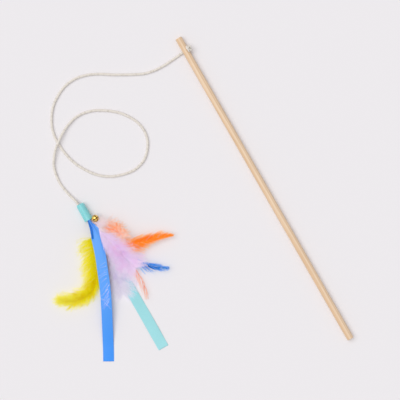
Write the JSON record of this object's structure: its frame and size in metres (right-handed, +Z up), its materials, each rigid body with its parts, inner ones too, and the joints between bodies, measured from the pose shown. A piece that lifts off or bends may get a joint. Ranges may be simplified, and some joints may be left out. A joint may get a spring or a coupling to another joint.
{
  "type": "cat teaser wand",
  "caption": "Wooden stick toy with a long limp cord through a cross hole, ending in a plastic sleeve that holds ribbons, feathers and a jingle bell.",
  "frame": {"origin": "centre of the bounding box, at the surface that the toy lies on, measured without the cord and its knots", "axes": "+Y along the dowel towards its tip with the cross hole, +Z up from the surface, +X from the lure towards the dowel"},
  "size_m": [0.2915, 0.4265, 0.0131],
  "materials": {
    "bare_wood": "smooth sanded light wood with a fine straight grain, unvarnished",
    "cord_cotton": "matte braided cord, warm light grey-beige",
    "sleeve_plastic": "soft translucent aqua plastic tube with a satin surface",
    "glue": "clear to milky set glue",
    "thread": "pale wound sewing thread",
    "bell_brass": "polished thin gold-coloured brass sheet",
    "pellet_steel": "small plain steel ball",
    "blue_satin": "bright blue satin ribbon with a soft sheen",
    "aqua_grosgrain": "pale aqua ribbon, nearly matte",
    "yellow_down": "fluffy marabou feather, dense yellow core and pale tips",
    "pink_down": "fluffy marabou feather, pale orchid pink",
    "lilac_down": "fluffy marabou feather, pale grey-lilac",
    "orange_down": "sparse fluffy feather, pale orange with brighter spots",
    "orange_vane": "hackle feather with open barbs, orange",
    "blue_vane": "hackle feather with open barbs, strong blue",
    "salmon_vane": "hackle feather with open barbs, salmon with orange lines"
  },
  "bodies": {
    "handle": {"dowel": "bare_wood", "stopper_knot": "cord_cotton", "cord": "cord_cotton"},
    "lure": {"sleeve": "sleeve_plastic", "cord_end": "cord_cotton", "glue_plug": "glue", "thread_binding": "thread", "bell_tie": "thread"},
    "bell": {"bell_loop": "bell_brass", "bell_cap": "bell_brass", "bell_bowl": "bell_brass"},
    "pellet": {"bell_pellet": "pellet_steel"},
    "blue_ribbon_leaf": {"blue_ribbon": "blue_satin"},
    "aqua_ribbon_leaf": {"aqua_ribbon": "aqua_grosgrain"},
    "yellow_marabou_leaf": {"yellow_marabou": "yellow_down"},
    "pink_marabou_leaf": {"pink_marabou": "pink_down"},
    "lilac_marabou_leaf": {"lilac_marabou": "lilac_down"},
    "orange_marabou_leaf": {"orange_marabou": "orange_down"},
    "orange_hackle_leaf": {"orange_hackle": "orange_vane"},
    "blue_hackle_leaf": {"blue_hackle": "blue_vane"},
    "salmon_hackle_leaf": {"salmon_hackle": "salmon_vane"}
  },
  "joints": [
    {"name": "lure_lift", "type": "hinge", "parent": "handle", "child": "lure", "pos_m": [-0.059, 0.0934, 0.0044], "axis": [-1, 0, 0], "range_deg": [0, 60]},
    {"name": "bell_swing", "type": "hinge", "parent": "lure", "child": "bell", "pos_m": [-0.05167, 0.06862, 0.00485], "axis": [0.2419, 0.9703, 0], "range_deg": [0, 50]},
    {"name": "pellet_rattle", "type": "slide", "parent": "bell", "child": "pellet", "axis": [0, 0, 1], "range_m": [0, 0.0044]},
    {"name": "blue_ribbon_swing", "type": "hinge", "parent": "lure", "child": "blue_ribbon_leaf", "pos_m": [-0.057, 0.0705, 0.00515], "axis": [0, 0, 1], "range_deg": [-25, 5]},
    {"name": "aqua_ribbon_swing", "type": "hinge", "parent": "lure", "child": "aqua_ribbon_leaf", "pos_m": [-0.057, 0.0705, 0.00515], "axis": [0, 0, 1], "range_deg": [-8, 20]},
    {"name": "yellow_marabou_swing", "type": "hinge", "parent": "lure", "child": "yellow_marabou_leaf", "pos_m": [-0.057, 0.0705, 0.00515], "axis": [0, 0, 1], "range_deg": [-10, 25]},
    {"name": "pink_marabou_swing", "type": "hinge", "parent": "lure", "child": "pink_marabou_leaf", "pos_m": [-0.057, 0.0705, 0.00515], "axis": [0, 0, 1], "range_deg": [-12, 12]},
    {"name": "lilac_marabou_swing", "type": "hinge", "parent": "lure", "child": "lilac_marabou_leaf", "pos_m": [-0.057, 0.0705, 0.00515], "axis": [0, 0, 1], "range_deg": [-12, 12]},
    {"name": "orange_marabou_swing", "type": "hinge", "parent": "lure", "child": "orange_marabou_leaf", "pos_m": [-0.057, 0.0705, 0.00515], "axis": [0, 0, 1], "range_deg": [-10, 10]},
    {"name": "orange_hackle_swing", "type": "hinge", "parent": "lure", "child": "orange_hackle_leaf", "pos_m": [-0.057, 0.0705, 0.00515], "axis": [0, 0, 1], "range_deg": [-15, 15]},
    {"name": "blue_hackle_swing", "type": "hinge", "parent": "lure", "child": "blue_hackle_leaf", "pos_m": [-0.057, 0.0705, 0.00515], "axis": [0, 0, 1], "range_deg": [-15, 15]},
    {"name": "salmon_hackle_swing", "type": "hinge", "parent": "lure", "child": "salmon_hackle_leaf", "pos_m": [-0.057, 0.0705, 0.00515], "axis": [0, 0, 1], "range_deg": [-15, 15]}
  ]
}
